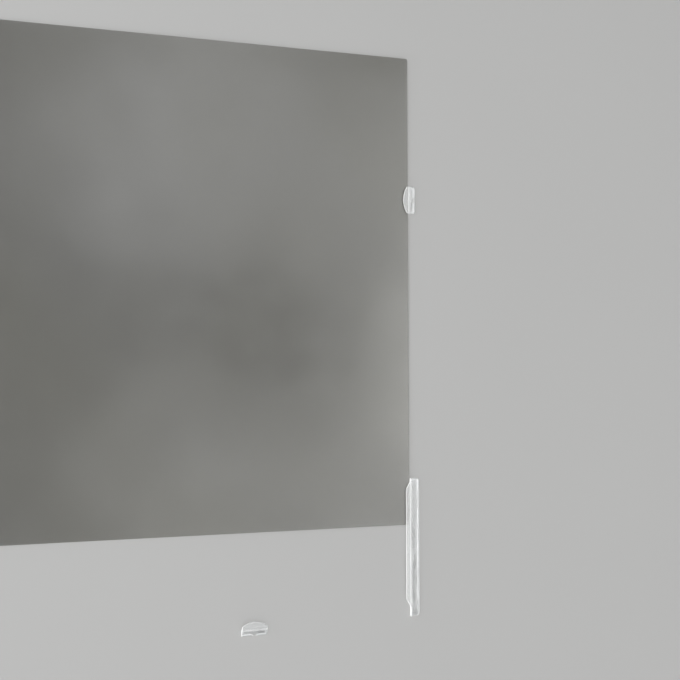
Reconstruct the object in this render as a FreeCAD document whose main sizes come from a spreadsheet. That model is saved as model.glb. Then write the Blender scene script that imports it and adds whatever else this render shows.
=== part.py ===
import FreeCAD, Part
import math
import os
import Sketcher

# Slide-in filter: one thin grey film and six clear moulded holders, which are two long side guides,
# two side tabs and two bottom tabs. Each holder is stuck down by its own clear adhesive strip.
# The film slides between the holders, under their lips.
#
# Frame, in millimetres: the origin is the centre of the film's back face, the face away from the
# lips. +X is the film's right, +Y its top and +Z its front. The film is drawn up from its seat,
# so its lower edge stands above the bottom tabs.

SIZES = [
    ("film_width", 531.0, "width of the film, cut to the common 24 inch size"),
    ("film_height", 299.0, "height of the film"),
    ("film_thickness", 0.5, "thickness of the film"),
    ("film_corner", 1.5, "radius of the film's corners"),
    ("drawn_up", 58.5, "how far the film is drawn up from its seat on the bottom tabs"),
    ("side_clearance", 0.6, "gap between a side edge of the film and a holder's riser"),
    ("lip_clearance", 0.4, "gap between the film's front and a holder's lip"),
    ("strip_thickness", 0.2, "thickness of an adhesive strip"),
    ("strip_inset", 0.5, "margin of a flange round its adhesive strip"),
    ("strip_corner", 0.6, "radius of an adhesive strip's corners"),
    ("flange_thickness", 1.0, "thickness of a holder's flange"),
    ("lip_thickness", 1.0, "thickness of a holder's lip"),
    ("riser_width", 1.0, "width of the riser that carries the lip above the flange"),
    ("step_round", 0.3, "radius at the foot and at the top of the riser"),
    ("edge_round", 0.2, "radius along a holder's upper outline"),
    ("lead_in", 0.3, "chamfer under the lip, where the film enters"),
    ("tab_width", 17.2, "width of a tab"),
    ("tab_flange", 4.2, "depth of a tab's flange, from the riser's inner face"),
    ("tab_reach", 4.4, "reach of a tab's lip at its middle, from the riser's inner face"),
    ("tab_shoulder", 1.7, "reach of a tab's lip at its ends"),
    ("tab_corner", 0.7, "radius of a tab's corners"),
    ("gate_width", 2.6, "width of the moulding gate's notch in a tab's flange"),
    ("gate_depth", 0.4, "depth of that notch"),
    ("guide_length", 88.0, "length of a side guide"),
    ("guide_flange", 6.4, "depth of a guide's flange, from the riser's inner face"),
    ("guide_reach", 3.4, "reach of a guide's lip"),
    ("guide_corner", 2.4, "radius of a guide flange's outer corners"),
    ("lip_below", 5.8, "length of a guide's lower end that has no lip"),
    ("lip_above", 1.6, "length of a guide's upper end that has no lip"),
    ("lip_slant", 5.4, "length of each slanted end of a guide's lip"),
    ("lip_corner", 0.8, "radius where a slanted end meets the riser"),
    ("riser_corner", 0.35, "radius of a guide riser's two end corners"),
    ("side_tab_height", 266.6, "height of a side tab's middle above the film's seat"),
    ("bottom_tab_inset", 111.4, "distance of a bottom tab's middle from the film's side edge"),
]

SEAT = "-Sizes.film_height / 2 - Sizes.drawn_up"
SIDE_STOP = "Sizes.film_width / 2 + Sizes.side_clearance"
FLANGE_FOOT = "Sizes.strip_thickness"
FLANGE_TOP = "Sizes.strip_thickness + Sizes.flange_thickness"
SLOT = "Sizes.film_thickness + Sizes.lip_clearance"
LIP_TOP = SLOT + " + Sizes.lip_thickness"
TAB_ARC = (
    "(Sizes.tab_width ^ 2 / 4 + (Sizes.tab_reach - Sizes.tab_shoulder) ^ 2)"
    " / (2 * (Sizes.tab_reach - Sizes.tab_shoulder))"
)
NIL = "0"
CUT_OVERRUN = "1"
SAME_PLACE = 1e-4
UP = FreeCAD.Vector(0, 0, 1)

doc = FreeCAD.newDocument("ScreenFilter")


def fill_sheet():
    """Put the driving dimensions in the document's spreadsheet, each under its own alias."""
    sheet = doc.addObject("Spreadsheet::Sheet", "Sizes")
    for row, (alias, value, note) in enumerate(SIZES, start=1):
        sheet.set(f"A{row}", alias)
        sheet.set(f"B{row}", str(value))
        sheet.set(f"C{row}", note)
        sheet.setAlias(f"B{row}", alias)
    doc.recompute()
    return sheet


def worth(expression):
    """The present value of an expression over the sheet's sizes."""
    return float(sheet.evalExpression(expression))


def new_body(label, x=None, y=None, turn=0):
    """A body at (x, y), given as expressions, turned by so many degrees about Z."""
    body = doc.addObject("PartDesign::Body", label)
    body.Label = label
    body.Placement = FreeCAD.Placement(FreeCAD.Vector(), FreeCAD.Rotation(UP, turn))
    if x:
        body.setExpression("Placement.Base.x", x)
    if y:
        body.setExpression("Placement.Base.y", y)
    return body


def new_sketch(body, name, role, offset=None):
    """A sketch on one of the body's own origin planes, moved along its normal by offset."""
    plane = next(item for item in body.Origin.OriginFeatures if item.Role == role)
    sketch = body.newObject("Sketcher::SketchObject", name)
    sketch.AttachmentSupport = [(plane, "")]
    sketch.MapMode = "FlatFace"
    if offset:
        sketch.setExpression("AttachmentOffset.Base.z", offset)
    return sketch


def bind(sketch, kind, where, value, expression):
    """Add a dimension to the sketch and drive it by an expression."""
    index = sketch.addConstraint(Sketcher.Constraint(kind, *where, value))
    sketch.setExpression(f"Constraints[{index}]", expression)


def fix_point(sketch, edge, end, corner):
    """Tie one end of an edge to the sketch's origin by its two coordinates."""
    for kind, expression in zip(("DistanceX", "DistanceY"), corner):
        value = worth(expression)
        if value < 0:
            bind(sketch, kind, (edge, end, -1, 1), -value, f"-({expression})")
        else:
            bind(sketch, kind, (-1, 1, edge, end), value, expression)


def arc_between(start, end, radius, side):
    """A circular arc from start to end, with its centre to the left (1) or right (-1) of its run."""
    chord = end - start
    left = UP.cross(chord).normalize()
    centre = (start + end) / 2 + left * (side * math.sqrt(radius**2 - (chord.Length / 2) ** 2))
    first, last = (start, end) if side > 0 else (end, start)
    from_angle = math.atan2(first.y - centre.y, first.x - centre.x)
    to_angle = math.atan2(last.y - centre.y, last.x - centre.x)
    if to_angle < from_angle:
        to_angle += 2 * math.pi
    return Part.ArcOfCircle(Part.Circle(centre, UP, radius), from_angle, to_angle)


def draw_outline(sketch, corners, arcs=None):
    """Draw a closed, fully dimensioned outline through corners, which are pairs of expressions.

    arcs holds the round edges, by the number of the corner that each starts at: its radius, as an
    expression, and the side of its run on which its centre lies.
    """
    arcs = arcs or {}
    points = [FreeCAD.Vector(worth(x), worth(y), 0) for x, y in corners]
    followers = points[1:] + points[:1]
    ends = []
    for number, (start, end) in enumerate(zip(points, followers)):
        radius, side = arcs.get(number, (None, 1))
        if radius:
            sketch.addGeometry(arc_between(start, end, worth(radius), side))
        else:
            sketch.addGeometry(Part.LineSegment(start, end))
        ends.append((1, 2) if side > 0 else (2, 1))
    for number, corner in enumerate(corners):
        after = (number + 1) % len(corners)
        fix_point(sketch, number, ends[number][0], corner)
        join = (number, ends[number][1], after, ends[after][0])
        sketch.addConstraint(Sketcher.Constraint("Coincident", *join))
    for number, (radius, side) in arcs.items():
        bind(sketch, "Radius", (number,), worth(radius), radius)


def pad(body, sketch, name, length):
    """Pad a sketch along its normal."""
    feature = body.newObject("PartDesign::Pad", name)
    feature.Profile = sketch
    feature.setExpression("Length", length)
    doc.recompute()


def cut_through(body, name, corners, arcs=None):
    """Cut an outline, drawn on the body's base plane, up through the whole body."""
    before = body.Tip.Shape.Volume
    sketch = new_sketch(body, name + "Outline", "XY_Plane")
    draw_outline(sketch, corners, arcs)
    feature = body.newObject("PartDesign::Pocket", name)
    feature.Profile = sketch
    feature.Type = "ThroughAll"
    feature.Reversed = True
    doc.recompute()
    if feature.Shape.Volume >= before:
        raise ValueError(f"{body.Label}: {name} cuts nothing")


def edges_where(body, test):
    """The names of the edges of the body's last feature that pass a test."""
    edges = body.Tip.Shape.Edges
    return [f"Edge{number}" for number, edge in enumerate(edges, start=1) if test(edge)]


def upright_at(spots):
    """A test for edges that stand along Z at one of the spots, which are pairs of expressions."""
    places = [(worth(x), worth(y)) for x, y in spots]

    def test(edge):
        ends = [vertex.Point for vertex in edge.Vertexes]
        return any(
            len(ends) == 2 and all(math.hypot(end.x - x, end.y - y) < SAME_PLACE for end in ends)
            for x, y in places
        )

    return test


def front_edge(height, reach):
    """A test for the level edge at a height that lies foremost on the lip, at its full reach."""
    level = worth(height)
    front = worth(reach)

    def test(edge):
        box = edge.BoundBox
        is_level = abs(box.ZMin - level) < SAME_PLACE and abs(box.ZMax - level) < SAME_PLACE
        return is_level and abs(box.YMax - front) < SAME_PLACE and box.XLength > front

    return test


def dress_edges(body, kind, name, measure, size, test):
    """Fillet or chamfer the edges that pass a test, and what runs on smoothly from them."""
    names = edges_where(body, test)
    if not names:
        raise ValueError(f"{body.Label}: {name} finds no edge")
    base = body.Tip
    feature = body.newObject("PartDesign::" + kind, name)
    feature.Base = (base, names)
    feature.setExpression(measure, size)
    doc.recompute()


def round_edges(body, name, radius, test):
    """Fillet the edges that pass a test."""
    dress_edges(body, "Fillet", name, "Radius", radius, test)


def pad_section(body, flange, lip_front, lip_arcs, start, length):
    """Pad a holder's cranked section: flange, riser and the lip that overhangs the film.

    lip_front holds the corners of the lip's free end, from its underside up to its top, and
    lip_arcs its round edges, as draw_outline takes them.
    """
    riser = "Sizes.riser_width"
    turn = "Sizes.step_round"
    flange_foot = [(f"-{flange}", FLANGE_FOOT), (NIL, FLANGE_FOOT), (NIL, SLOT)]
    step = [
        (f"{turn} - {riser}", LIP_TOP),
        (f"-{riser}", f"{LIP_TOP} - {turn}"),
        (f"-{riser}", f"{FLANGE_TOP} + {turn}"),
        (f"-{riser} - {turn}", FLANGE_TOP),
    ]
    corners = flange_foot + lip_front + step + [(f"-{flange}", FLANGE_TOP)]
    lip_start = len(flange_foot)
    step_start = lip_start + len(lip_front)
    arcs = {step_start: (turn, 1), step_start + 2: (turn, -1)}
    for number, arc in lip_arcs.items():
        arcs[lip_start + number] = arc
    sketch = new_sketch(body, "Section", "YZ_Plane", start)
    draw_outline(sketch, corners, arcs)
    pad(body, sketch, "Holder", length)


def build_film():
    """The film: one flat sheet with slightly rounded corners."""
    body = new_body("filter_film")
    half_width = "Sizes.film_width / 2"
    half_height = "Sizes.film_height / 2"
    corners = [
        (f"-{half_width}", f"-{half_height}"),
        (half_width, f"-{half_height}"),
        (half_width, half_height),
        (f"-{half_width}", half_height),
    ]
    sketch = new_sketch(body, "Outline", "XY_Plane")
    draw_outline(sketch, corners)
    pad(body, sketch, "Sheet", "Sizes.film_thickness")
    round_edges(body, "Corners", "Sizes.film_corner", upright_at(corners))
    return body


def build_strip(label, x, y, turn, span, flange):
    """A clear adhesive strip under a flange, inset from the flange's edges."""
    body = new_body(label, x, y, turn)
    first, last = span
    inset = "Sizes.strip_inset"
    corners = [
        (f"{first} + {inset}", f"{inset} - {flange}"),
        (f"{last} - {inset}", f"{inset} - {flange}"),
        (f"{last} - {inset}", f"-{inset}"),
        (f"{first} + {inset}", f"-{inset}"),
    ]
    sketch = new_sketch(body, "Outline", "XY_Plane")
    draw_outline(sketch, corners)
    pad(body, sketch, "Strip", "Sizes.strip_thickness")
    round_edges(body, "Corners", "Sizes.strip_corner", upright_at(corners))
    return body


def build_tab(label, x, y, turn):
    """A small tab with a D-shaped lip, and its adhesive strip. Its own +Y points at the film."""
    half = "Sizes.tab_width / 2"
    flange = "Sizes.tab_flange"
    reach = "Sizes.tab_reach"
    shoulder = "Sizes.tab_shoulder"
    body = new_body(label, x, y, turn)
    lip_front = [(reach, SLOT), (reach, LIP_TOP)]
    pad_section(body, flange, lip_front, {}, f"-{half}", "Sizes.tab_width")
    beyond = [
        (half, shoulder),
        (f"{half} + {CUT_OVERRUN}", shoulder),
        (f"{half} + {CUT_OVERRUN}", f"{reach} + {CUT_OVERRUN}"),
        (f"-{half} - {CUT_OVERRUN}", f"{reach} + {CUT_OVERRUN}"),
        (f"-{half} - {CUT_OVERRUN}", shoulder),
        (f"-{half}", shoulder),
    ]
    cut_through(body, "LipFront", beyond, {5: (TAB_ARC, -1)})
    corners = [(sign + half, depth) for sign in ("", "-") for depth in (f"-{flange}", shoulder)]
    round_edges(body, "Corners", "Sizes.tab_corner", upright_at(corners))
    round_edges(body, "UpperEdge", "Sizes.edge_round", front_edge(LIP_TOP, reach))
    dress_edges(body, "Chamfer", "LeadIn", "Size", "Sizes.lead_in", front_edge(SLOT, reach))
    half_gate = "Sizes.gate_width / 2"
    notch = [
        (f"-{half_gate}", f"-{flange} - {CUT_OVERRUN}"),
        (half_gate, f"-{flange} - {CUT_OVERRUN}"),
        (half_gate, f"Sizes.gate_depth - {flange}"),
        (f"-{half_gate}", f"Sizes.gate_depth - {flange}"),
    ]
    cut_through(body, "GateNotch", notch)
    strip = build_strip(label + "_adhesive", x, y, turn, (f"-{half}", half), flange)
    return [body, strip]


def build_guide(label, x, y, turn):
    """A long side guide and its adhesive strip. Its own +X runs up and its own +Y at the film."""
    length = "Sizes.guide_length"
    flange = "Sizes.guide_flange"
    reach = "Sizes.guide_reach"
    slant = "Sizes.lip_slant"
    low = "Sizes.lip_below"
    high = f"{length} - Sizes.lip_above"
    body = new_body(label, x, y, turn)
    lead_in = "Sizes.lead_in"
    edge = "Sizes.edge_round"
    lip_front = [
        (f"{reach} - {lead_in}", SLOT),
        (reach, f"{SLOT} + {lead_in}"),
        (reach, f"{LIP_TOP} - {edge}"),
        (f"{reach} - {edge}", LIP_TOP),
    ]
    pad_section(body, flange, lip_front, {2: (edge, 1)}, None, length)
    below = [
        (f"-{CUT_OVERRUN}", NIL),
        (low, NIL),
        (f"{low} + {slant}", reach),
        (f"{low} + {slant}", f"{reach} + {CUT_OVERRUN}"),
        (f"-{CUT_OVERRUN}", f"{reach} + {CUT_OVERRUN}"),
    ]
    above = [
        (high, NIL),
        (f"{length} + {CUT_OVERRUN}", NIL),
        (f"{length} + {CUT_OVERRUN}", f"{reach} + {CUT_OVERRUN}"),
        (f"{high} - {slant}", f"{reach} + {CUT_OVERRUN}"),
        (f"{high} - {slant}", reach),
    ]
    cut_through(body, "LowerSlant", below)
    cut_through(body, "UpperSlant", above)
    round_edges(body, "LipRoots", "Sizes.lip_corner", upright_at([(low, NIL), (high, NIL)]))
    round_edges(body, "RiserEnds", "Sizes.riser_corner", upright_at([(NIL, NIL), (length, NIL)]))
    outer = [(NIL, f"-{flange}"), (length, f"-{flange}")]
    round_edges(body, "FlangeCorners", "Sizes.guide_corner", upright_at(outer))
    strip = build_strip(label + "_adhesive", x, y, turn, (NIL, length), flange)
    return [body, strip]


def mirror_left(source, label):
    """The left-hand twin of a right-hand piece."""
    twin = doc.addObject("Part::Mirroring", label)
    twin.Label = label
    twin.Source = source
    twin.Normal = FreeCAD.Vector(1, 0, 0)
    doc.recompute()
    return twin


def check_document(pieces):
    """Stop unless every object was computed and every piece is one valid solid."""
    for item in doc.Objects:
        if {"Invalid", "Error"} & set(item.State):
            raise ValueError(f"{item.Label} failed: {item.State}")
    for piece in pieces:
        shape = piece.Shape
        if shape.isNull() or not shape.isValid() or len(shape.Solids) != 1:
            raise ValueError(f"{piece.Label} is not one valid solid")


sheet = fill_sheet()
side_height = f"{SEAT} + Sizes.side_tab_height"
bottom_place = "Sizes.film_width / 2 - Sizes.bottom_tab_inset"
right_guide = build_guide("side_guide_right", SIDE_STOP, SEAT, 90)
pieces = [build_film()]
pieces += right_guide
pieces += [mirror_left(piece, piece.Label.replace("right", "left")) for piece in right_guide]
pieces += build_tab("side_tab_right", SIDE_STOP, side_height, 90)
pieces += build_tab("side_tab_left", f"-({SIDE_STOP})", side_height, -90)
pieces += build_tab("bottom_tab_right", bottom_place, SEAT, 0)
pieces += build_tab("bottom_tab_left", f"-({bottom_place})", SEAT, 0)
doc.recompute()
check_document(pieces)

os.makedirs("parts", exist_ok=True)
for piece in pieces:
    piece.Shape.exportStep(os.path.join("parts", piece.Label + ".step"))
    print(f"{piece.Label}: {piece.Shape.Volume:.3f} mm3")
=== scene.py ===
"""Slide-in filter: a thin smoky film, part drawn from its clear moulded holders, lying flat."""

import logging
import math
from dataclasses import dataclass
from enum import Enum, IntEnum

import bpy
from mathutils import Matrix, Vector


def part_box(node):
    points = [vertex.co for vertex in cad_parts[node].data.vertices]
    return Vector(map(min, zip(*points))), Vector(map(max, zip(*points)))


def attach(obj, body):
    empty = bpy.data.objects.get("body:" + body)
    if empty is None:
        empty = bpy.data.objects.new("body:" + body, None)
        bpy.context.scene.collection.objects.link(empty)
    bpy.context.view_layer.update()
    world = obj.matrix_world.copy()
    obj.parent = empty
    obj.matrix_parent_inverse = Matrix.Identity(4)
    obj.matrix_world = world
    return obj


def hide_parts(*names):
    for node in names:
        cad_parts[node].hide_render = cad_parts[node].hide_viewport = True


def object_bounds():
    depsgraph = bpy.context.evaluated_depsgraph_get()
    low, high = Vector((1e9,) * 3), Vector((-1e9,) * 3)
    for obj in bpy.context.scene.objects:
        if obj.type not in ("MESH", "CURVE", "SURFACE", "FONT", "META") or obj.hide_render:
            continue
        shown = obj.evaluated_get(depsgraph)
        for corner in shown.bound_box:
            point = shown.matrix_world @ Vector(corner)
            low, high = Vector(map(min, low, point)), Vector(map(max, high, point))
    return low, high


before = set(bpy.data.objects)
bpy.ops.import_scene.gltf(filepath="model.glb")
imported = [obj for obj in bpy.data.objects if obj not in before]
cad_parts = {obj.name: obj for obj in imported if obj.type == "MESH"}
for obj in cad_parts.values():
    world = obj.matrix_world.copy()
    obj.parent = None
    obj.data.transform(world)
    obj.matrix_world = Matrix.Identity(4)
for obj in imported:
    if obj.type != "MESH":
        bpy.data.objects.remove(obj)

CAD_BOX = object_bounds()
LOG = logging.getLogger("screen_filter")

Colour = tuple[float, float, float, float]
Point = tuple[float, float, float]
Span = tuple[float, float]
Ends = tuple[object, object]
Socket = bpy.types.NodeSocket

# What a mesh holds for its finishes to read.
WETTING = "wetting"
# Where the strips carry their painted highlight.
PAINTED_GLINT = "painted_glint"
CUT_EDGE = "cut_edge"

AXES = ("X", "Y", "Z")
UNIT_SPAN: Span = (0.0, 1.0)
# Nearly all of a noise's values lie in this span.
NOISE_SPAN: Span = (0.3, 0.7)


class Body(str, Enum):
    """The two bodies that move apart when the film slides."""

    HOLDERS = "holders"
    FILTER = "filter"


class Slot(str, Enum):
    """The record's material slots."""

    FILM = "film"
    CLEAR_PLASTIC = "clear_plastic"
    ADHESIVE = "adhesive"


class Face(IntEnum):
    """The kinds of face on a holder, numbered as their finishes are."""

    FLAT = 0
    UPRIGHT = 1
    LIP_FRONT = 2


@dataclass(frozen=True)
class Grain:
    """A noise: its cells to a metre, and how many finer layers are added to it."""

    scale: float
    detail: float


class Graph:
    """A node tree being built."""

    def __init__(self, tree: bpy.types.NodeTree) -> None:
        """Empty the tree, to fill it anew."""
        self.tree = tree
        self.tree.nodes.clear()

    def add(self, kind: str, **settings: object) -> bpy.types.Node:
        """Add a node.

        Args:
            kind: The node's Blender type.
            settings: Properties to set on it.

        Returns:
            The new node.
        """
        node = self.tree.nodes.new(kind)
        for name, value in settings.items():
            setattr(node, name, value)
        return node

    def feed(self, socket: Socket, value: object) -> None:
        """Give an input a link or a plain value.

        Args:
            socket: The input.
            value: An output to link, or a plain value to set.
        """
        if isinstance(value, bpy.types.NodeSocket):
            self.tree.links.new(value, socket)
        else:
            socket.default_value = value

    def math(self, operation: str, first: object, second: object = 0.0) -> Socket:
        """Work out one number from one or two.

        Args:
            operation: The Math node's operation.
            first: A link or a number.
            second: A link or a number, which an operation on one number leaves unread.

        Returns:
            The result.
        """
        node = self.add("ShaderNodeMath", operation=operation)
        self.feed(node.inputs[0], first)
        self.feed(node.inputs[1], second)
        return node.outputs["Value"]

    def remainder(self, share: Socket) -> Socket:
        """What a share leaves of 1."""
        return self.math("SUBTRACT", 1.0, share)

    def between(self, value: Socket, source: Ends, target: Ends, smooth: bool = False) -> Socket:
        """Carry a value from one span to another, held at the ends.

        Args:
            value: What to carry over.
            source: The span it comes from, as links or numbers.
            target: The span it goes to, as links or numbers.
            smooth: Whether the ends are eased.

        Returns:
            The new value.
        """
        kind = "SMOOTHSTEP" if smooth else "LINEAR"
        node = self.add("ShaderNodeMapRange", interpolation_type=kind)
        self.feed(node.inputs["Value"], value)
        names = ("From Min", "From Max", "To Min", "To Max")
        for name, limit in zip(names, source + target):
            self.feed(node.inputs[name], limit)
        return node.outputs["Result"]

    def noise(self, place: Socket, scale: object, detail: float, seed: object = 0.0) -> Socket:
        """Smooth noise through space.

        Args:
            place: The coordinates to read.
            scale: Cells to a metre, as a link or a number.
            detail: How many finer layers are added.
            seed: Which noise it is, as a link or a number.

        Returns:
            The noise, from 0 to 1.
        """
        node = self.add("ShaderNodeTexNoise", noise_dimensions="4D")
        values = {"Vector": place, "Scale": scale, "Detail": detail, "W": seed}
        for name, value in values.items():
            self.feed(node.inputs[name], value)
        return node.outputs["Fac"]


class Finish(Graph):
    """A material being built round one Principled shader."""

    def __init__(self, name: str, refraction: float, clearness: float = 0.0) -> None:
        """Start the material.

        Args:
            name: The material's name.
            refraction: Its index of refraction.
            clearness: The share of light that goes through it.
        """
        self.material = bpy.data.materials.new(name)
        self.material.use_nodes = True
        super().__init__(self.material.node_tree)
        self.place = self.add("ShaderNodeTexCoord").outputs["Object"]
        self.surface = self.add("ShaderNodeBsdfPrincipled")
        self.output = self.add("ShaderNodeOutputMaterial")
        self.feed(self.surface.inputs["IOR"], refraction)
        self.feed(self.surface.inputs["Transmission Weight"], clearness)
        self.feed(self.output.inputs["Surface"], self.surface.outputs["BSDF"])

    def grain(self, grain: Grain) -> Socket:
        """A noise through the piece."""
        return self.noise(self.place, grain.scale, grain.detail)

    def read(self, attribute: str) -> Socket:
        """A number that the piece's mesh holds at each point."""
        return self.add("ShaderNodeAttribute", attribute_name=attribute).outputs["Fac"]

    def tint(self, share: Socket, first: Colour, second: Colour) -> None:
        """Colour the surface with a blend of two colours.

        Args:
            share: 0 for the first, 1 for the second.
            first: The colour at 0.
            second: The colour at 1.
        """
        node = self.add("ShaderNodeValToRGB")
        node.color_ramp.elements[0].color = first
        node.color_ramp.elements[1].color = second
        self.feed(node.inputs["Fac"], share)
        self.feed(self.surface.inputs["Base Color"], node.outputs["Color"])

    def polish(self, value: Socket, source: Span, gloss: Span) -> None:
        """Set the roughness, by carrying a value from its own span to the gloss."""
        self.feed(self.surface.inputs["Roughness"], self.between(value, source, gloss))

    def bump(self, height: Socket, depth: float) -> None:
        """Tilt the surface's normal by a height.

        Args:
            height: The height, from 0 to 1.
            depth: What a height of 1 stands for, in metres.
        """
        node = self.add("ShaderNodeBump")
        self.feed(node.inputs["Height"], height)
        self.feed(node.inputs["Distance"], depth)
        self.feed(self.surface.inputs["Normal"], node.outputs["Normal"])

    def pass_lamplight(self, share: Colour) -> None:
        """Let lamplight straight through, so that what lies under is lit.

        Args:
            share: The share of lamplight that passes each face, by colour.
        """
        passing = self.add("ShaderNodeBsdfTransparent")
        self.feed(passing.inputs["Color"], share)
        mix = self.add("ShaderNodeMixShader")
        self.feed(mix.inputs["Fac"], self.add("ShaderNodeLightPath").outputs["Is Shadow Ray"])
        self.feed(mix.inputs[1], self.surface.outputs["BSDF"])
        self.feed(mix.inputs[2], passing.outputs["BSDF"])
        self.feed(self.output.inputs["Surface"], mix.outputs["Shader"])


@dataclass(frozen=True)
class SmokyFilm:
    """The film's faces: grey, see-through, semi-gloss, with a faint warm drift across them."""

    warm: Colour = (0.523, 0.52, 0.486, 1.0)
    neutral: Colour = (0.56, 0.56, 0.552, 1.0)
    lamplight: Colour = (0.69, 0.69, 0.67, 1.0)
    refraction: float = 1.5
    clearness: float = 0.95
    gloss: Span = (0.07, 0.14)
    drift: Grain = Grain(5.0, 2.0)
    haze: Grain = Grain(38.0, 4.0)
    ripple: Grain = Grain(9.0, 1.0)
    ripple_depth: float = 9e-4

    def make(self) -> bpy.types.Material:
        """Build the material.

        Returns:
            The finished material.
        """
        finish = Finish("smoky_film", self.refraction, self.clearness)
        drift = finish.between(finish.grain(self.drift), NOISE_SPAN, UNIT_SPAN)
        finish.tint(drift, self.warm, self.neutral)
        finish.polish(finish.grain(self.haze), NOISE_SPAN, self.gloss)
        finish.bump(finish.grain(self.ripple), self.ripple_depth)
        finish.pass_lamplight(self.lamplight)
        return finish.material


@dataclass(frozen=True)
class ClearPlastic:
    """The holders' flat faces: clear moulded plastic, a little milky, with faint flow marks."""

    clear: Colour = (0.95, 0.96, 0.965, 1.0)
    milky: Colour = (0.90, 0.92, 0.925, 1.0)
    lamplight: Colour = (0.94, 0.94, 0.94, 1.0)
    refraction: float = 1.47
    clearness: float = 0.97
    gloss: Span = (0.015, 0.05)
    flow: Grain = Grain(240.0, 3.0)
    flow_depth: float = 1.5e-5
    cloud_limits: Span = (0.35, 0.7)

    def make(self) -> bpy.types.Material:
        """Build the material.

        Returns:
            The finished material.
        """
        finish = Finish("clear_moulded_plastic", self.refraction, self.clearness)
        flow = finish.grain(self.flow)
        finish.tint(finish.between(flow, self.cloud_limits, UNIT_SPAN), self.clear, self.milky)
        finish.polish(flow, NOISE_SPAN, self.gloss)
        finish.bump(flow, self.flow_depth)
        finish.pass_lamplight(self.lamplight)
        return finish.material


@dataclass(frozen=True)
class FrostedGlowFace:
    """A part-clear face that scatters light, in two close shades that a fine grain blends; its pale
    shades are painted glow, in place of light that comes out at an edge.
    """

    name: str
    bright: Colour
    soft: Colour
    lamplight: Colour
    refraction: float
    clearness: float
    gloss: Span
    marks: Grain

    def make(self) -> bpy.types.Material:
        """Build the material.

        Returns:
            The finished material.
        """
        finish = Finish(self.name, self.refraction, self.clearness)
        marks = finish.grain(self.marks)
        finish.tint(marks, self.bright, self.soft)
        finish.polish(marks, NOISE_SPAN, self.gloss)
        finish.pass_lamplight(self.lamplight)
        return finish.material


@dataclass(frozen=True)
class CutEdge(FrostedGlowFace):
    """The film's cut edge: rough from the knife, so it catches the light; its colour, much paler than
    the film's, is painted glow for the light that runs along the sheet and out at its edge.
    """

    name: str = "cut_film_edge"
    bright: Colour = (0.93, 0.94, 0.94, 1.0)
    soft: Colour = (0.78, 0.80, 0.80, 1.0)
    lamplight: Colour = (0.9, 0.9, 0.9, 1.0)
    refraction: float = 1.5
    clearness: float = 0.3
    gloss: Span = (0.3, 0.6)
    marks: Grain = Grain(900.0, 2.0)


@dataclass(frozen=True)
class PaintedGlowEdge(FrostedGlowFace):
    """The holders' upright edges: whiter and more diffuse than the flat faces, a painted glow in place
    of the light that runs through the plastic and comes out there.
    """

    name: str = "painted_glow_plastic_edge"
    bright: Colour = (1.0, 1.0, 1.0, 1.0)
    soft: Colour = (0.92, 0.93, 0.93, 1.0)
    lamplight: Colour = (0.94, 0.94, 0.94, 1.0)
    refraction: float = 1.47
    clearness: float = 0.25
    gloss: Span = (0.5, 0.7)
    marks: Grain = Grain(700.0, 3.0)


@dataclass(frozen=True)
class PaintedGlowLip(FrostedGlowFace):
    """The lips' front faces: clear plastic that looks whiter, a painted glow in place of the light
    caught under the lip.
    """

    name: str = "painted_glow_lip_front"
    bright: Colour = (0.97, 0.975, 0.975, 1.0)
    soft: Colour = (0.91, 0.925, 0.93, 1.0)
    lamplight: Colour = (0.92, 0.92, 0.92, 1.0)
    refraction: float = 1.47
    clearness: float = 0.76
    gloss: Span = (0.03, 0.09)
    marks: Grain = Grain(320.0, 3.0)


@dataclass(frozen=True)
class WetAdhesive:
    """The strips' finish: clear adhesive, darker where it has wetted out, and white and diffuse along
    its outer edges as a painted highlight in place of the glints on the holders' flange edges.
    """

    wetted: Colour = (0.74, 0.74, 0.735, 1.0)
    dry: Colour = (0.97, 0.97, 0.97, 1.0)
    lamplight: Colour = (0.96, 0.96, 0.96, 1.0)
    refraction: float = 1.06
    # Clear away from the edges, and nearly opaque white at the painted highlight.
    clearness: Span = (0.97, 0.05)
    gloss: Span = (0.22, 0.03)

    def make(self) -> bpy.types.Material:
        """Build the material.

        Returns:
            The finished material.
        """
        finish = Finish("clear_adhesive", self.refraction)
        # Painted highlight: where the strip's edge is marked, the adhesive turns white and diffuse.
        clearness = finish.between(finish.read(PAINTED_GLINT), UNIT_SPAN, self.clearness)
        finish.feed(finish.surface.inputs["Transmission Weight"], clearness)
        wetting = finish.read(WETTING)
        finish.tint(wetting, self.dry, self.wetted)
        finish.polish(wetting, UNIT_SPAN, self.gloss)
        finish.pass_lamplight(self.lamplight)
        return finish.material


@dataclass(frozen=True)
class PaleFloor:
    """The floor's finish: matt, pale, very slightly uneven."""

    light: Colour = (0.425, 0.425, 0.421, 1.0)
    dark: Colour = (0.405, 0.405, 0.401, 1.0)
    refraction: float = 1.5
    gloss: Span = (0.7, 0.8)
    patches: Grain = Grain(3.0, 2.0)

    def make(self) -> bpy.types.Material:
        """Build the material.

        Returns:
            The finished material.
        """
        finish = Finish("pale_floor", self.refraction)
        patches = finish.grain(self.patches)
        finish.tint(patches, self.light, self.dark)
        finish.polish(patches, NOISE_SPAN, self.gloss)
        return finish.material


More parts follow.
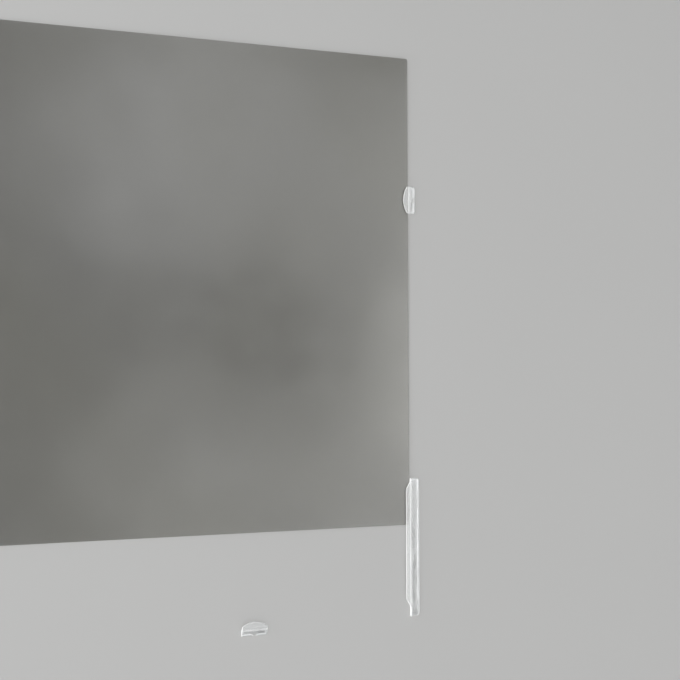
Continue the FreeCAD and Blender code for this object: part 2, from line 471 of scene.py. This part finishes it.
class Shape(Graph):
    """A Geometry Nodes tree with named inputs, and the plain mesh that it makes."""

    def __init__(self, name: str) -> None:
        """Start the tree.

        Args:
            name: The name of the tree and of the piece it makes.
        """
        self.name = name
        super().__init__(bpy.data.node_groups.new(name, "GeometryNodeTree"))
        self.values: dict[str, object] = {}
        for way in ("INPUT", "OUTPUT"):
            self.tree.interface.new_socket("Geometry", in_out=way, socket_type="NodeSocketGeometry")
        self.entry = self.add("NodeGroupInput")

    def ask(self, name: str, kind: str, value: object) -> Socket:
        """Add a named input.

        Args:
            name: The input's name.
            kind: Its socket type, such as Float, Vector or Material.
            value: What this piece gives it.

        Returns:
            The input's link inside the tree.
        """
        socket = self.tree.interface.new_socket(name, in_out="INPUT", socket_type=f"NodeSocket{kind}")
        self.values[socket.identifier] = value
        return self.entry.outputs[name]

    def deliver(self, geometry: Socket, dress: list[tuple[Socket, object]]) -> None:
        """End the tree.

        Args:
            geometry: What the tree has made.
            dress: Pairs of a material and the faces it goes on.
        """
        realize = self.add("GeometryNodeRealizeInstances")
        self.feed(realize.inputs["Geometry"], geometry)
        last = realize.outputs["Geometry"]
        for material, faces in dress:
            setter = self.add("GeometryNodeSetMaterial")
            self.feed(setter.inputs["Geometry"], last)
            self.feed(setter.inputs["Selection"], faces)
            self.feed(setter.inputs["Material"], material)
            last = setter.outputs["Geometry"]
        self.feed(self.add("NodeGroupOutput").inputs["Geometry"], last)

    def make(self) -> bpy.types.Object:
        """Run the tree and keep its result as a plain mesh.

        Returns:
            The finished piece, with no modifier.
        """
        start = bpy.data.meshes.new(f"{self.name}_start")
        piece = bpy.data.objects.new(self.name, start)
        bpy.context.scene.collection.objects.link(piece)
        modifier = piece.modifiers.new(self.name, "NODES")
        modifier.node_group = self.tree
        for identifier, value in self.values.items():
            modifier[identifier] = value
        evaluated = piece.evaluated_get(bpy.context.evaluated_depsgraph_get())
        mesh = bpy.data.meshes.new_from_object(evaluated)
        piece.modifiers.remove(modifier)
        piece.data = mesh
        mesh.name = self.name
        bpy.data.meshes.remove(start)
        return piece


class ThinSheet(Shape):
    """A thin flat solid with round corners, laid out as a grid in the place of a CAD node."""

    CORNER_STEPS = 5
    WELD_DISTANCE = 1e-6
    # Two unlike factors, so that each sheet's place gives it a seed of its own.
    SEED_FACTORS = (31.0, 17.0)

    def __init__(self, name: str, node: str, corner: float, cell: float, spare: float = 0.0) -> None:
        """Ask for the sheet's sizes.

        Args:
            name: The piece's name.
            node: The CAD node whose place it takes.
            corner: The radius of its corners.
            cell: About how wide the grid's cells are.
            spare: How much thinner than the node the sheet is.
        """
        super().__init__(name)
        low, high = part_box(node)
        sides = high - low
        middle = (low + high) / 2
        self.spans = {"X": sides.x, "Y": sides.y}
        self.middles = {"X": middle.x, "Y": middle.y}
        self.across, self.along = sorted(self.spans, key=self.spans.get)
        x_factor, y_factor = self.SEED_FACTORS
        self.seed = self.ask("Seed", "Float", abs(middle.x * x_factor + middle.y * y_factor))
        self.place = self.ask("Place", "Vector", (middle.x, middle.y, low.z))
        self.thickness = self.ask("Thickness", "Float", sides.z - spare)
        self.corner = self.ask("Corner radius", "Float", corner)
        self.sizes = {
            "X": self.ask("Width", "Float", sides.x),
            "Y": self.ask("Height", "Float", sides.y),
        }
        self.halves = {axis: self.math("MULTIPLY", size, 0.5) for axis, size in self.sizes.items()}
        self.cells = {
            axis: 2 * self.CORNER_STEPS + max(1, round((side - 2 * corner) / cell))
            for axis, side in self.spans.items()
        }

    def position(self) -> Socket:
        """Where each point of the mesh is."""
        return self.add("GeometryNodeInputPosition").outputs["Position"]

    def split(self, vector: Socket) -> dict[str, Socket]:
        """Take a vector apart.

        Args:
            vector: The vector.

        Returns:
            Its parts by axis.
        """
        parts = self.add("ShaderNodeSeparateXYZ")
        self.feed(parts.inputs["Vector"], vector)
        return {axis: parts.outputs[axis] for axis in AXES}

    def lay(self) -> Socket:
        """Lay the flat grid, with its outer lines drawn in so that its corners are round.

        Returns:
            The sheet's back face, still centred on the origin.
        """
        grid = self.add("GeometryNodeMeshGrid")
        spot = self.split(self.position())
        signs: dict[str, Socket] = {}
        straights: dict[str, Socket] = {}
        corners: dict[str, Socket] = {}
        for axis, size in self.sizes.items():
            count = self.cells[axis]
            self.feed(grid.inputs[f"Size {axis}"], size)
            self.feed(grid.inputs[f"Vertices {axis}"], count + 1)
            share = self.math("DIVIDE", self.math("ABSOLUTE", spot[axis]), self.halves[axis])
            inner_share = 1.0 - 2.0 * self.CORNER_STEPS / count
            inner = self.math("SUBTRACT", self.halves[axis], self.corner)
            signs[axis] = self.math("SIGN", spot[axis])
            straights[axis] = self.between(share, (0.0, inner_share), (0.0, inner))
            corners[axis] = self.between(share, (inner_share, 1.0), UNIT_SPAN)
        moved = self.add("ShaderNodeCombineXYZ")
        for axis, other in (("X", "Y"), ("Y", "X")):
            # A corner's square becomes a quarter disc: a, beside b, becomes a * sqrt(1 - b * b / 2).
            squeeze = self.math("MULTIPLY", self.math("POWER", corners[other], 2.0), 0.5)
            bend = self.math("SQRT", self.remainder(squeeze))
            outward = self.math("MULTIPLY", self.math("MULTIPLY", corners[axis], bend), self.corner)
            reach = self.math("ADD", straights[axis], outward)
            self.feed(moved.inputs[axis], self.math("MULTIPLY", signs[axis], reach))
        setter = self.add("GeometryNodeSetPosition")
        self.feed(setter.inputs["Geometry"], grid.outputs["Mesh"])
        self.feed(setter.inputs["Position"], moved.outputs["Vector"])
        return setter.outputs["Geometry"]

    def store(self, geometry: Socket, name: str, kind: str, domain: str, value: Socket) -> Socket:
        """Keep a value on the mesh under a name.

        Args:
            geometry: The mesh.
            name: The attribute's name.
            kind: Its data type.
            domain: What it sits on.
            value: The value.

        Returns:
            The mesh with the attribute.
        """
        node = self.add("GeometryNodeStoreNamedAttribute", data_type=kind, domain=domain)
        self.feed(node.inputs["Geometry"], geometry)
        self.feed(node.inputs["Name"], name)
        self.feed(node.inputs["Value"], value)
        return node.outputs["Geometry"]

    def cut_edge(self) -> Socket:
        """Find the sheet's cut edge, once it is closed.

        Returns:
            Which of its faces are the edge.
        """
        node = self.add("GeometryNodeInputNamedAttribute", data_type="BOOLEAN")
        self.feed(node.inputs["Name"], CUT_EDGE)
        return node.outputs["Attribute"]

    def close(self, back: Socket) -> Socket:
        """Close the sheet into a thin solid, smooth on its faces and sharp at its rim.

        Args:
            back: The sheet's back face.

        Returns:
            The solid.
        """
        raised = self.add("GeometryNodeExtrudeMesh")
        self.feed(raised.inputs["Mesh"], back)
        self.feed(raised.inputs["Offset"], (0.0, 0.0, 1.0))
        self.feed(raised.inputs["Offset Scale"], self.thickness)
        self.feed(raised.inputs["Individual"], False)
        marked = self.store(raised.outputs["Mesh"], CUT_EDGE, "BOOLEAN", "FACE", raised.outputs["Side"])
        turned = self.add("GeometryNodeFlipFaces")
        self.feed(turned.inputs["Mesh"], back)
        joined = self.add("GeometryNodeJoinGeometry")
        for part in (turned.outputs["Mesh"], marked):
            self.feed(joined.inputs["Geometry"], part)
        merged = self.add("GeometryNodeMergeByDistance")
        self.feed(merged.inputs["Geometry"], joined.outputs["Geometry"])
        self.feed(merged.inputs["Distance"], self.WELD_DISTANCE)
        smooth = self.add("GeometryNodeSetShadeSmooth", domain="FACE")
        self.feed(smooth.inputs["Geometry"], merged.outputs["Geometry"])
        self.feed(smooth.inputs["Shade Smooth"], self.remainder(self.cut_edge()))
        return smooth.outputs["Geometry"]

    def lift(self, solid: Socket, height: Socket) -> Socket:
        """Raise each point by a height.

        Args:
            solid: The solid.
            height: How far each point goes up.

        Returns:
            The raised solid.
        """
        upward = self.add("ShaderNodeCombineXYZ")
        self.feed(upward.inputs["Z"], height)
        setter = self.add("GeometryNodeSetPosition")
        self.feed(setter.inputs["Geometry"], solid)
        self.feed(setter.inputs["Offset"], upward.outputs["Vector"])
        return setter.outputs["Geometry"]

    def settle(self, solid: Socket) -> Socket:
        """Move the finished solid to its place.

        Args:
            solid: The solid, centred on the origin.

        Returns:
            The solid in the part's frame.
        """
        mover = self.add("GeometryNodeTransform")
        self.feed(mover.inputs["Geometry"], solid)
        self.feed(mover.inputs["Translation"], self.place)
        return mover.outputs["Geometry"]


def register(piece: bpy.types.Object, body: Body) -> None:
    """Hang a new piece on its body, and report it.

    Args:
        piece: The piece.
        body: What it moves with.
    """
    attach(piece, body.value)
    LOG.info("%s: %d faces on %s", piece.name, len(piece.data.polygons), body.value)


@dataclass
class Film:
    """The film: one thin cut sheet that lies almost flat, in long low waves."""

    node: str = "filter_film"
    corner: float = 0.0015
    cell: float = 0.005
    wave_height: float = 0.00028
    waves: Grain = Grain(7.0, 0.0)
    face: SmokyFilm = SmokyFilm()
    edge: CutEdge = CutEdge()

    def build(self) -> None:
        """Make the sheet in place of its CAD solid."""
        sheet = ThinSheet("film_sheet", self.node, self.corner, self.cell)
        rise = sheet.ask("Wave height", "Float", self.wave_height)
        scale = sheet.ask("Waves to a metre", "Float", self.waves.scale)
        face = sheet.ask("Face finish", "Material", self.face.make())
        edge = sheet.ask("Edge finish", "Material", self.edge.make())
        solid = sheet.close(sheet.lay())
        spot = sheet.split(sheet.position())
        level = sheet.add("ShaderNodeCombineXYZ")
        for axis in sheet.sizes:
            sheet.feed(level.inputs[axis], spot[axis])
        swell = sheet.noise(level.outputs["Vector"], scale, self.waves.detail, sheet.seed)
        waved = sheet.lift(solid, sheet.between(swell, NOISE_SPAN, (0.0, rise)))
        sheet.deliver(sheet.settle(waved), [(face, True), (edge, sheet.cut_edge())])
        piece = sheet.make()
        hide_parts(self.node)
        register(piece, Body.FILTER)


@dataclass
class Strips:
    """The clear adhesive strips under the holders, dimpled where they have not wetted out, with a
    painted highlight along their edges.
    """

    corner: float = 0.0006
    cell: float = 0.0005
    bond_gap: float = 0.00001
    dimple: float = 0.00006
    patches: Grain = Grain(420.0, 2.0)
    stretch: float = 0.35
    wet_limits: Span = (0.51, 0.60)
    press: Span = (0.14, -0.08)
    press_reach: float = 0.044
    # The painted highlight along the edges: its width, its faint share on the inner edges, its gap at a
    # tab's gate, and its broken stretches on a guide.
    glint_width: float = 0.0010
    faint_glint: float = 0.4
    gate_half: float = 0.0012
    gate_fade: float = 0.0004
    longest_tab: float = 0.03
    glint_streaks: Grain = Grain(55.0, 1.0)
    glint_streak_limits: Span = (0.44, 0.56)
    faintest_glint: float = 0.25
    finish: WetAdhesive = WetAdhesive()

    def build(self, holders: list[str]) -> None:
        """Make the strip under every holder.

        Args:
            holders: The holders' names.
        """
        material = self.finish.make()
        for holder in holders:
            self.lay_strip(holder, material)

    def lay_strip(self, holder: str, material: bpy.types.Material) -> None:
        """Make one strip in place of its CAD solid, with a dimpled underside.

        Args:
            holder: The name of the holder that it is under.
            material: Its finish.
        """
        node = f"{holder}_adhesive"
        strip = ThinSheet(f"{holder}_strip", node, self.corner, self.cell, self.bond_gap)
        depth = strip.ask("Dimple depth", "Float", self.dimple)
        finish = strip.ask("Finish", "Material", material)
        solid = strip.close(strip.lay())
        spot = strip.split(strip.position())
        # Painted highlight along the edges; the wetting is kept off it.
        painted_glint = self.painted_glint(strip, spot)
        wetting = strip.math("MULTIPLY", self.wetted(strip, spot), strip.remainder(painted_glint))
        with_painted_glint = strip.store(solid, PAINTED_GLINT, "FLOAT", "POINT", painted_glint)
        stored = strip.store(with_painted_glint, WETTING, "FLOAT", "POINT", wetting)
        from_top = strip.remainder(strip.math("DIVIDE", spot["Z"], strip.thickness))
        hollow = strip.math("MULTIPLY", strip.remainder(wetting), from_top)
        dimpled = strip.lift(stored, strip.math("MULTIPLY", hollow, depth))
        strip.deliver(strip.settle(dimpled), [(finish, True)])
        piece = strip.make()
        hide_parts(node)
        register(piece, Body.HOLDERS)

    def wetted(self, strip: ThinSheet, spot: dict[str, Socket]) -> Socket:
        """Mark where a strip has wetted out: in patches drawn out lengthwise, more of them lower down.

        Args:
            strip: The strip being made.
            spot: Where each point is, by axis.

        Returns:
            1 where it has wetted out, down to 0 where it has not.
        """
        squeeze = tuple(self.stretch if axis == strip.along else 1.0 for axis in AXES)
        scale = strip.ask("Patches to a metre", "Float", self.patches.scale)
        drawn_out = strip.add("ShaderNodeVectorMath", operation="MULTIPLY")
        strip.feed(drawn_out.inputs[0], strip.position())
        strip.feed(drawn_out.inputs[1], strip.ask("Stretch", "Vector", squeeze))
        patches = strip.noise(drawn_out.outputs["Vector"], scale, self.patches.detail, strip.seed)
        pressing = strip.between(spot["Y"], (-self.press_reach, self.press_reach), self.press)
        pressed = strip.math("ADD", patches, pressing)
        return strip.between(pressed, self.wet_limits, UNIT_SPAN, smooth=True)

    def painted_glint(self, strip: ThinSheet, spot: dict[str, Socket]) -> Socket:
        """Mark where a strip's painted highlight lies: strong along its outer long side, and faint
        along the others.

        Args:
            strip: The strip being made.
            spot: Where each point is, by axis.

        Returns:
            1 at the outer edge and less at the others, down to 0 inside them.
        """
        aside = {axis: strip.math("ABSOLUTE", spot[axis]) for axis in strip.sizes}
        inward = [strip.math("SUBTRACT", strip.halves[axis], aside[axis]) for axis in strip.sizes]
        away = math.copysign(1.0, strip.middles[strip.across])
        outward = strip.math("MULTIPLY", spot[strip.across], away)
        to_outer_side = strip.math("SUBTRACT", strip.halves[strip.across], outward)
        to_nearest_side = strip.math("MINIMUM", *inward)
        width = (0.0, self.glint_width)
        faint = strip.between(to_nearest_side, width, (self.faint_glint, 0.0), smooth=True)
        strong = strip.between(to_outer_side, width, (1.0, 0.0), smooth=True)
        rim = strip.math("MAXIMUM", faint, strong)
        return strip.math("MULTIPLY", rim, self.strength(strip, aside[strip.along]))

    def strength(self, strip: ThinSheet, aside: Socket) -> Socket:
        """Vary a strip's painted highlight along it: broken into stretches on a guide, with a gap at
        the gate of a tab.

        Args:
            strip: The strip being made.
            aside: How far each point is from the strip's middle, lengthwise.

        Returns:
            1 where the painted highlight is whole, down to 0 where it is missing.
        """
        if strip.spans[strip.along] < self.longest_tab:
            gate = (self.gate_half, self.gate_half + self.gate_fade)
            return strip.between(aside, gate, UNIT_SPAN)
        glint_streaks = strip.noise(strip.position(), self.glint_streaks.scale, self.glint_streaks.detail, strip.seed)
        return strip.between(glint_streaks, self.glint_streak_limits, (self.faintest_glint, 1.0), smooth=True)


@dataclass
class Holders:
    """The clear holders that the film slides under."""

    plastic: ClearPlastic = ClearPlastic()
    edge: PaintedGlowEdge = PaintedGlowEdge()
    lip: PaintedGlowLip = PaintedGlowLip()
    least_flatness: float = 0.5
    lip_front: float = 0.0018
    kinds: tuple[str, ...] = ("side_guide", "side_tab", "bottom_tab")
    sides: tuple[str, ...] = ("right", "left")

    def names(self) -> list[str]:
        """The CAD nodes of all the holders."""
        return [f"{kind}_{side}" for kind in self.kinds for side in self.sides]

    def build(self) -> None:
        """Dress every holder."""
        # The upright edges and the lip fronts get pale, more diffuse finishes as painted glow.
        finishes = {
            Face.FLAT: self.plastic.make(),
            Face.UPRIGHT: self.edge.make(),
            Face.LIP_FRONT: self.lip.make(),
        }
        for name in self.names():
            self.dress(name, finishes)

    def kind_of(self, face: bpy.types.MeshPolygon) -> Face:
        """Tell what kind of face one is.

        Args:
            face: The face.

        Returns:
            Its kind.
        """
        if abs(face.normal.z) < self.least_flatness:
            return Face.UPRIGHT
        return Face.LIP_FRONT if face.center.z > self.lip_front else Face.FLAT

    def dress(self, name: str, finishes: dict[Face, bpy.types.Material]) -> None:
        """Give one CAD node its finishes.

        Args:
            name: The node's name.
            finishes: The finish of each kind of face.
        """
        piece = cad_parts[name]
        piece.data.materials.clear()
        for kind in Face:
            piece.data.materials.append(finishes[kind])
        for face in piece.data.polygons:
            face.material_index = self.kind_of(face).value
        LOG.info("%s: %d faces dressed", name, len(piece.data.polygons))


@dataclass(frozen=True)
class Softbox:
    """One soft studio lamp, which lights the part but is not mirrored in it."""

    name: str
    place: Point
    size: Span
    power: float

    def hang(self, aim: Point) -> None:
        """Hang the lamp and point it.

        Args:
            aim: Where it points.
        """
        data = bpy.data.lights.new(self.name, "AREA")
        data.shape = "RECTANGLE"
        data.size, data.size_y = self.size
        data.energy = self.power
        lamp = bpy.data.objects.new(self.name, data)
        bpy.context.scene.collection.objects.link(lamp)
        lamp.visible_glossy = False
        lamp.visible_transmission = False
        lamp.location = self.place
        heading = Vector(aim) - Vector(self.place)
        lamp.rotation_euler = heading.to_track_quat("-Z", "Y").to_euler()


@dataclass(frozen=True)
class Glow:
    """A soft round patch of light on the surround."""

    toward: Point
    full_deg: float
    end_deg: float
    strength: float

    def shine(self, graph: Graph, heading: Socket) -> Socket:
        """Work out the patch's light in each direction.

        Args:
            graph: The surround's node tree.
            heading: The direction.

        Returns:
            The light that the patch adds there.
        """
        lean = graph.add("ShaderNodeVectorMath", operation="DOT_PRODUCT")
        graph.feed(lean.inputs[0], heading)
        graph.feed(lean.inputs[1], Vector(self.toward).normalized())
        limits = (math.cos(math.radians(self.end_deg)), math.cos(math.radians(self.full_deg)))
        return graph.between(lean.outputs["Value"], limits, (0.0, self.strength), smooth=True)


@dataclass
class Studio:
    """The floor, the lamps, the surround and the camera."""

    floor_half: float = 12.0
    floor_gap: float = 0.0003
    floor_finish: PaleFloor = PaleFloor()
    lamp_aim: Point = (0.15, 0.0, 0.0)
    lamps: tuple[Softbox, ...] = (
        Softbox("key_lamp", (-1.3, 0.75, 0.85), (0.5, 0.5), 15.0),
        Softbox("edge_lamp", (0.9, -1.2, 0.9), (0.9, 0.3), 5.0),
        Softbox("low_lamp", (-1.5, -0.5, 0.3), (0.6, 0.3), 11.0),
    )
    surround: Colour = (1.0, 1.0, 1.0, 1.0)
    surround_strength: float = 0.32
    horizon_strength: float = 0.9
    horizon_top: float = 0.5
    glows: tuple[Glow, ...] = (
        Glow((0.585, 0.07, 0.808), 3.0, 8.5, 2.3),
        Glow((0.585, -0.06, 0.809), 3.0, 8.5, 2.7),
        Glow((0.42, 0.14, 0.895), 1.0, 6.5, 1.6),
        Glow((0.43, -0.07, 0.90), 1.0, 5.0, 1.6),
        Glow((-0.75, 0.1, 0.65), 12.0, 40.0, 1.6),
        Glow((0.2, -0.8, 0.55), 10.0, 40.0, 0.9),
    )
    camera_place: Point = (-0.3432, -0.0530, 0.9830)
    camera_target: Point = (0.2153, -0.0316, 0.0)
    camera_roll: float = math.radians(0.22)
    picture_top: Point = (0.0, 1.0, 0.0)
    lens_mm: float = 95.3
    sensor_mm: float = 36.0

    def build(self) -> None:
        """Set everything round the part."""
        self.lay_floor()
        for lamp in self.lamps:
            lamp.hang(self.lamp_aim)
        self.light_surround()
        self.set_camera()

    def lay_floor(self) -> None:
        """Lay a wide plain floor just under the part."""
        half = self.floor_half
        level = CAD_BOX[0].z - self.floor_gap
        mesh = bpy.data.meshes.new("floor")
        corners = ((-half, -half), (half, -half), (half, half), (-half, half))
        mesh.from_pydata([(x, y, level) for x, y in corners], [], [range(len(corners))])
        mesh.materials.append(self.floor_finish.make())
        floor = bpy.data.objects.new("floor", mesh)
        bpy.context.scene.collection.objects.link(floor)

    def light_surround(self) -> None:
        """Put a pale surround round the part, brighter low down and in soft patches."""
        world = bpy.data.worlds.new("studio_surround")
        world.use_nodes = True
        graph = Graph(world.node_tree)
        heading = graph.add("ShaderNodeTexCoord").outputs["Generated"]
        height = graph.add("ShaderNodeSeparateXYZ")
        graph.feed(height.inputs["Vector"], heading)
        band = (self.horizon_strength, 0.0)
        horizon = graph.between(height.outputs["Z"], (0.0, self.horizon_top), band, smooth=True)
        strength = graph.math("ADD", horizon, self.surround_strength)
        for glow in self.glows:
            strength = graph.math("ADD", glow.shine(graph, heading), strength)
        sky = graph.add("ShaderNodeBackground")
        graph.feed(sky.inputs["Color"], self.surround)
        graph.feed(sky.inputs["Strength"], strength)
        graph.feed(graph.add("ShaderNodeOutputWorld").inputs["Surface"], sky.outputs["Background"])
        bpy.context.scene.world = world

    def set_camera(self) -> None:
        """Look down on the part from its left, as steeply as the photograph looks at it."""
        data = bpy.data.cameras.new("camera")
        data.sensor_fit = "HORIZONTAL"
        data.sensor_width = self.sensor_mm
        data.lens = self.lens_mm
        camera = bpy.data.objects.new("camera", data)
        bpy.context.scene.collection.objects.link(camera)
        ahead = (Vector(self.camera_target) - Vector(self.camera_place)).normalized()
        right = ahead.cross(Vector(self.picture_top)).normalized()
        up = right.cross(ahead)
        level = Matrix((right, up, -ahead)).transposed()
        turned = level @ Matrix.Rotation(-self.camera_roll, 3, "Z")
        camera.matrix_world = Matrix.Translation(self.camera_place) @ turned.to_4x4()
        scene = bpy.context.scene
        scene.camera = camera
        scene.view_settings.view_transform = "Standard"


def main() -> None:
    """Dress the part and set the studio."""
    logging.basicConfig(level=logging.INFO, format="%(name)s: %(message)s")
    Film().build()
    holders = Holders()
    holders.build()
    Strips().build(holders.names())
    Studio().build()


if __name__ == "__main__":
    main()
